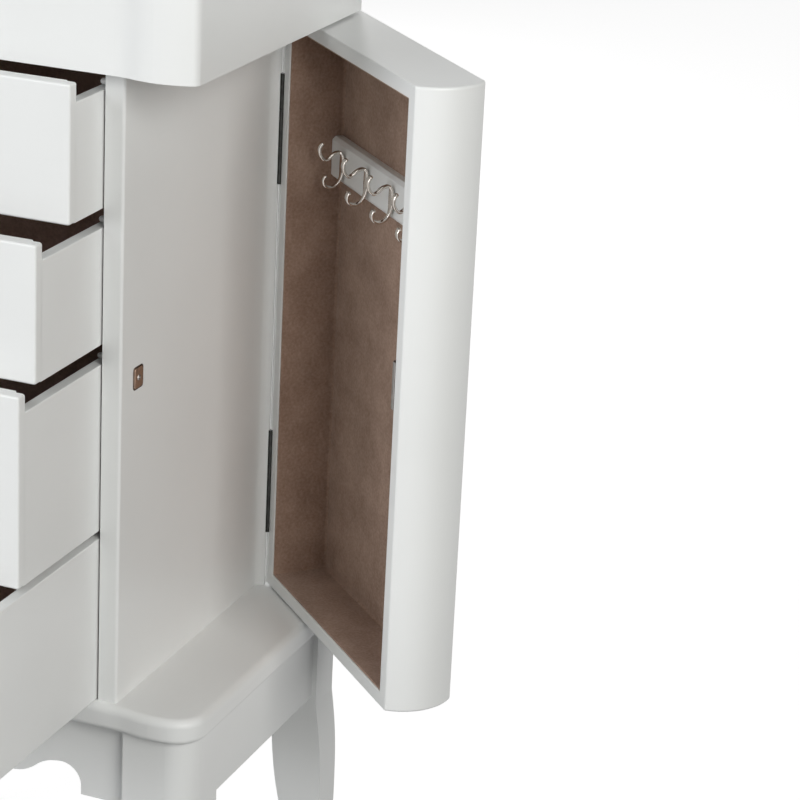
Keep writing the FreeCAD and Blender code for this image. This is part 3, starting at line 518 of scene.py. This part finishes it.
def plated(name, colour, rough, cloudy):
    """Plated metal: a fully metallic shader whose roughness and colour a soft noise varies."""
    metal = bpy.data.materials.new(name)
    metal.use_nodes = True
    nodes, links = metal.node_tree.nodes, metal.node_tree.links
    shader = nodes["Principled BSDF"]
    shader.inputs["Metallic"].default_value = 1.0
    where = nodes.new("ShaderNodeTexCoord")
    cloud = nodes.new("ShaderNodeTexNoise")
    cloud.inputs["Scale"].default_value = 160.0
    cloud.inputs["Detail"].default_value = 4.0
    links.new(where.outputs["Object"], cloud.inputs["Vector"])
    tint = nodes.new("ShaderNodeValToRGB")
    tint.color_ramp.elements[0].position = 0.32
    tint.color_ramp.elements[1].position = 0.62
    tint.color_ramp.elements[0].color = (*[c * (1 - cloudy) for c in colour], 1)
    tint.color_ramp.elements[1].color = (*colour, 1)
    links.new(cloud.outputs["Fac"], tint.inputs["Fac"])
    links.new(tint.outputs["Color"], shader.inputs["Base Color"])
    dull = nodes.new("ShaderNodeMapRange")
    dull.inputs["To Min"].default_value = rough * 1.5
    dull.inputs["To Max"].default_value = rough * 0.8
    links.new(cloud.outputs["Fac"], dull.inputs["Value"])
    links.new(dull.outputs["Result"], shader.inputs["Roughness"])
    return metal


nickel = plated("nickel_plate", (0.78, 0.74, 0.69), 0.13, 0.22)


def smooth_line(points, count):
    """Evenly counted points on the Catmull-Rom curve through the given ones: each span blends its end
    points and their half-difference tangents by cubic Hermite weights."""
    p = np.asarray(points, float)
    p = np.concatenate([[2 * p[0] - p[1]], p, [2 * p[-1] - p[-2]]])
    x = np.linspace(0, len(p) - 3 - 1e-9, count)
    i = x.astype(int)
    f = (x - i)[:, None]
    a, b, c, d = p[i], p[i + 1], p[i + 2], p[i + 3]
    return b + 0.5 * f * (c - a + f * (2 * a - 5 * b + 4 * c - d + f * (3 * (b - c) + d - a)))


def hook(u):
    """A flat bar with soft edges carried along the hook's line, in millimetres out of the rail and above
    the top of the stem: a superellipse, broad at the stem, with rounded ends."""
    crook = [(16.8, -19.6), (19.0, -24.4), (17.2, -29.4), (11.6, -31.4), (5.8, -28.8), (2.6, -23.2)]
    stem = [(1.7, -16.0), (1.6, -8.6), (2.0, -3.4)]
    arm = [(4.4, -0.5), (8.2, -0.7), (11.8, -2.7), (15.0, -5.5), (18.4, -6.2), (21.7, -3.2), (23.6, 2.0),
           (22.8, 6.4), (20.2, 9.6)]
    line = smooth_line(crook + stem + arm, 120)
    along = np.gradient(line, axis=0)
    along /= np.linalg.norm(along, axis=1)[:, None]
    across = np.stack([-along[:, 1], along[:, 0]], -1)
    gone = np.concatenate([[0], np.cumsum(np.linalg.norm(np.diff(line, axis=0), axis=1))])
    left = np.minimum(gone, gone[-1] - gone)
    taper = np.sqrt(1 - (1 - np.clip(left / 1.4, 0.02, 1)) ** 2)
    broad = np.exp(-((line[:, 1] + 12) / 9) ** 2) * (line[:, 0] < 4)
    spread = np.exp(-(left / 11) ** 2)
    wide, thick = 2.1 + 2.3 * broad + 1.0 * spread, 1.42 + 0.35 * broad - 0.05 * spread
    turn = np.radians(np.arange(0, 360, 15))
    c = np.sign(np.cos(turn)) * np.abs(np.cos(turn)) ** 0.7
    d = np.sign(np.sin(turn)) * np.abs(np.sin(turn)) ** 0.7
    deep = (thick * taper)[:, None] * d
    v = line[:, :1] + across[:, :1] * deep
    z = line[:, 1:] + across[:, 1:] * deep
    w = (wide * taper)[:, None] * c
    return np.stack([u + w / 1000, rail_face - v / 1000, top_of_stem + z / 1000], -1)


hook_first, hook_pitch, top_of_stem = 0.044, 0.0545, 0.420
for side, name in ((1, "right"), (-1, "left")):
    surface("door_%s_necklace_hooks" % name,
            [on_door(hook(hook_first + hook_pitch * i), side) for i in range(5)],
            nickel, "door_" + name, ["door_%s_hooks" % name])


# ---------------------------------------------------------------- side doors: hinges, catches, strike plates
# Long steel butt hinges lie in the back corner, their leaves on the backs of panel and door. Inside the free
# end sits a slim magnetic catch; opposite it the side panel carries a small bronzed plate whose dark rim is
# painted shade.
# painted shade: the hinge steel is coloured near black to stand for the dark slit along the hinge line
shade_dark_steel = plated("hinge_steel_shade_dark", (0.055, 0.055, 0.052), 0.34, 0.35)
for name in ("door_hinge_fixed", "door_right_hinge_leaves", "door_left_hinge_leaves", "lid_hinge_fixed",
             "lid_hinge_leaves"):
    node[name].data.materials[0] = shade_dark_steel


def lathe(profile, centre, axis, steps=24):
    """Rings of a turned piece: each (distance along the axis, radius) of the profile swung round it."""
    profile = np.asarray(profile, float)
    turn = np.linspace(0, 2 * np.pi, steps, endpoint=False)
    a, b = [k for k in range(3) if k != axis]
    rings = np.empty((len(profile), steps, 3))
    rings[..., axis] = centre[axis] + profile[:, :1]
    rings[..., a] = centre[a] + profile[:, 1:] * np.cos(turn)
    rings[..., b] = centre[b] + profile[:, 1:] * np.sin(turn)
    return rings


catch_brown = cloth("catch_moulding", (0.060, 0.046, 0.038), (0.085, 0.066, 0.055), 0.0, 0.05)
pole_steel = plated("pole_steel", (0.42, 0.41, 0.40), 0.34, 0.2)
for side, name in ((1, "right"), (-1, "left")):
    body = board((0.2615, 0.0006, 0.2648), (0.2665, 0.012, 0.3068), 0.0008)
    surface("door_%s_catch_body" % name, [on_door(body, side)], catch_brown, "door_" + name,
            ["door_%s_catch" % name])
    pole = board((0.2621, 0.0, 0.2656), (0.2663, 0.0016, 0.3060), 0.0005)
    surface("door_%s_catch_poles" % name, [on_door(pole, side)], pole_steel, "door_" + name)

# painted shade: the plate's rim is coloured dark bronze for the shadowed edges round the raised field
plate_shade_rim = plated("bronzed_shade_rim", (0.16, 0.115, 0.09), 0.34, 0.3)
bronzed = plated("bronzed_plate", (0.74, 0.55, 0.43), 0.36, 0.25)
strike_low, strike_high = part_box("strike_plates")
strike_y = (strike_low.y + strike_high.y) / 2
strike_z = (strike_low.z + strike_high.z) / 2
shade_rim_y, shade_rim_z = 0.0015, 0.0013
for side, name in ((1, "right"), (-1, "left")):
    plate = board((side_face, strike_low.y, strike_low.z), (side_face + 0.0008, strike_high.y, strike_high.z),
                  0.003, 0.00002, 0.0005, axis=0)
    field = board((side_face + 0.0004, strike_low.y + shade_rim_y, strike_low.z + shade_rim_z),
                  (side_face + 0.0011, strike_high.y - shade_rim_y, strike_high.z - shade_rim_z),
                  0.002, 0.00002, 0.0003, axis=0)
    screw = lathe([(0.0006, 0.0026), (0.0012, 0.0025), (0.0016, 0.0020), (0.0018, 0.0013), (0.0018, 0.0009),
                   (0.0012, 0.0006), (0.0011, 0.0001)], (side_face, strike_y, strike_z), 0)
    mirror_side = np.array([side, 1, 1])
    surface("strike_plate_" + name, [plate * mirror_side], plate_shade_rim, "cabinet",
            ["strike_plates"] if side > 0 else ())
    surface("strike_field_" + name, [field * mirror_side], bronzed, "cabinet")
    surface("strike_screw_" + name, [screw * mirror_side], pole_steel, "cabinet")

# ---------------------------------------------------------------- kicker pins
# White nylon pins pressed into the stiles just above the drawer sides. They are round at the free end, and
# keep a drawer from tipping when it is pulled far out.
nylon = lacquer("white_nylon", (0.90, 0.90, 0.89), (90, 90, 90))
pin_low, pin_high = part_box("kicker_pins")
pin_profile = [(-0.011, 0.0004), (-0.0108, 0.0012), (-0.0102, 0.0020), (-0.0092, 0.0025), (-0.0005, 0.0025),
               (0.007, 0.00235), (0.008, 0.0018)]
above_lining, pin_up = 0.003, 0.0032
pins = []
for i in (1, 2, 3):
    pin_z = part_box("drawer_%d_lining" % i)[1].z + above_lining + pin_up
    turned = lathe(pin_profile, (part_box("stile_right")[0].x, (pin_low.y + pin_high.y) / 2, pin_z), 0)
    pins += [turned, turned * np.array([-1, 1, 1])]
surface("nylon_pins", pins, nylon, "cabinet", ["kicker_pins"])

# ---------------------------------------------------------------- drawers
# Each drawer is a box of sprayed boards with a thin inner front and a thicker outer front whose edges are
# rounded over, lined with black-brown velvet glued to its inside. The turned knobs are plated.
velvet = cloth("dark_velvet", (0.280, 0.182, 0.142), (0.430, 0.292, 0.232), 0.25, 0.5)
drawer_side_t, inner_t, drawer_back_t, back_down, let_in = 0.010, 0.005, 0.008, 0.002, 0.0015
floor_foot, floor_head, eased_edge = 0.003, 0.007, 0.0009
for i in (1, 2, 3, 4):
    body = "drawer_%d" % i
    low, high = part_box(body + "_front")
    surface(body + "_face", [board(low, high, 0.0022, 0.0020, 0.0004, axis=1)], white_level,
            body, [body + "_front"])
    (x0, y0, z0), (x1, y1, z1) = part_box(body + "_box")
    side_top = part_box(body + "_lining")[1].z + above_lining
    in0, in1, back = x0 + drawer_side_t, x1 - drawer_side_t, y1 - drawer_back_t
    boards = [board((x0, y0 - let_in, z0), (in0, y1, side_top), eased_edge),
              board((in1, y0 - let_in, z0), (x1, y1, side_top), eased_edge),
              board((in0, y0, z0), (in1, y0 + inner_t, z1), eased_edge),
              board((in0, back, z0), (in1, y1, side_top - back_down), eased_edge),
              board((in0, y0 + inner_t, z0 + floor_foot), (in1, back, z0 + floor_head), 0.0004)]
    surface(body + "_boards", boards, white_level, body, [body + "_box"])
    (x0, y0, z0), (x1, y1, z1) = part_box(body + "_lining")
    tray = cloth_tray(x0, x1, y0, y1, z1, z0, 0.0012, 0.0025, 0.0008)[..., [0, 2, 1]]
    piece = surface(body + "_velvet", [tray], velvet, body, [body + "_lining"])
    node[body + "_knob"].data.materials[0] = nickel

# ---------------------------------------------------------------- tray: cloth, dividers and ring cushion
# The tray floor is covered in the same suede as the doors. Painted dividers stand on it, and in the front
# middle lies a cushion of seven foam rolls covered in suede, which pinch rings between them.
low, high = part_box("tray_cloth")
piece = surface("tray_floor_suede", [board(low, high, 0.0007)], suede, "cabinet",
                ["tray_cloth"])
low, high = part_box("tray_dividers")
front_row, divider_t, divider_edge = 0.119, 0.006, 0.0012
middle = low.y + front_row
walls = [board((low.x, middle, low.z), (high.x, middle + divider_t, high.z), divider_edge)]
for x in (0.086, -0.092):
    walls.append(board((x, low.y, low.z), (x + divider_t, middle, high.z), divider_edge))
    walls.append(board((x, middle + divider_t, low.z), (x + divider_t, high.y, high.z), divider_edge))
surface("tray_partitions", walls, white_level, "cabinet", ["tray_dividers"])


def cushion_roll(y, half_thick, half_long, low, tall):
    """A stuffed roll: a superellipse, square below and round above, drawn in at both sewn ends by a
    quarter circle and breathing a little along its length by two sines."""
    x = half_long * np.sin(np.radians(np.linspace(-90, 90, 61)))
    past = np.clip((np.abs(x) - (half_long - 0.006)) / 0.006, 0, 1)
    drawn = np.sqrt(np.maximum(1 - past ** 2, 0.01))
    breath = 1 - 0.02 * (1 + np.sin(x * 190 + y * 900)) - 0.012 * (1 + np.sin(x * 431 + y * 1700))
    turn = np.radians(np.arange(0, 360, 11.25))
    c, s = np.cos(turn), np.sin(turn)
    wide = np.sign(c) * np.abs(c) ** 0.74
    up = np.where(s > 0, np.abs(s) ** 0.86, -np.abs(s) ** 0.42)
    height = (breath * (0.55 + 0.45 * drawn))[:, None]
    rings = np.empty((len(x), len(turn), 3))
    rings[..., 0] = x[:, None]
    rings[..., 1] = y + half_thick * (drawn * breath)[:, None] * wide
    rings[..., 2] = low + tall / 2 * (1 + height * up) - tall / 2 * (1 - height)
    return rings


low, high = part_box("ring_rolls")
roll_count, cushion_deep = 7, 0.118
pitch = cushion_deep / roll_count
rolls = [cushion_roll(low.y + pitch / 2 - 0.0002 + i * pitch, pitch / 2 - 0.0001, (high.x - low.x) / 2, low.z,
                      high.z - low.z) for i in range(roll_count)]
piece = surface("ring_cushion", rolls, suede, "cabinet", ["ring_rolls"])

# ---------------------------------------------------------------- lid and mirror
# The lid is a bowed board with a rounded edge over a frame that holds a bevelled mirror. It stands open,
# leaning back on its hinges.
node["lid_panel"].data.materials[0] = white_level
node["lid_frame"].data.materials[0] = white_level
glass = bpy.data.materials.new("silvered_glass")
glass.use_nodes = True
nodes, links = glass.node_tree.nodes, glass.node_tree.links
shader = nodes["Principled BSDF"]
shader.inputs["Metallic"].default_value = 1.0
shader.inputs["Coat Weight"].default_value = 0.6
shader.inputs["Coat Roughness"].default_value = 0.01
where = nodes.new("ShaderNodeTexCoord")
haze = nodes.new("ShaderNodeTexNoise")
haze.inputs["Scale"].default_value = 7.0
links.new(where.outputs["Object"], haze.inputs["Vector"])
dull = nodes.new("ShaderNodeMapRange")
dull.inputs["To Min"].default_value = 0.012
dull.inputs["To Max"].default_value = 0.035
links.new(haze.outputs["Fac"], dull.inputs["Value"])
links.new(dull.outputs["Result"], shader.inputs["Roughness"])
tint = nodes.new("ShaderNodeValToRGB")
tint.color_ramp.elements[0].color = (0.82, 0.85, 0.85, 1)
tint.color_ramp.elements[1].color = (0.86, 0.88, 0.88, 1)
links.new(haze.outputs["Fac"], tint.inputs["Fac"])
links.new(tint.outputs["Color"], shader.inputs["Base Color"])
node["lid_mirror"].data.materials[0] = glass
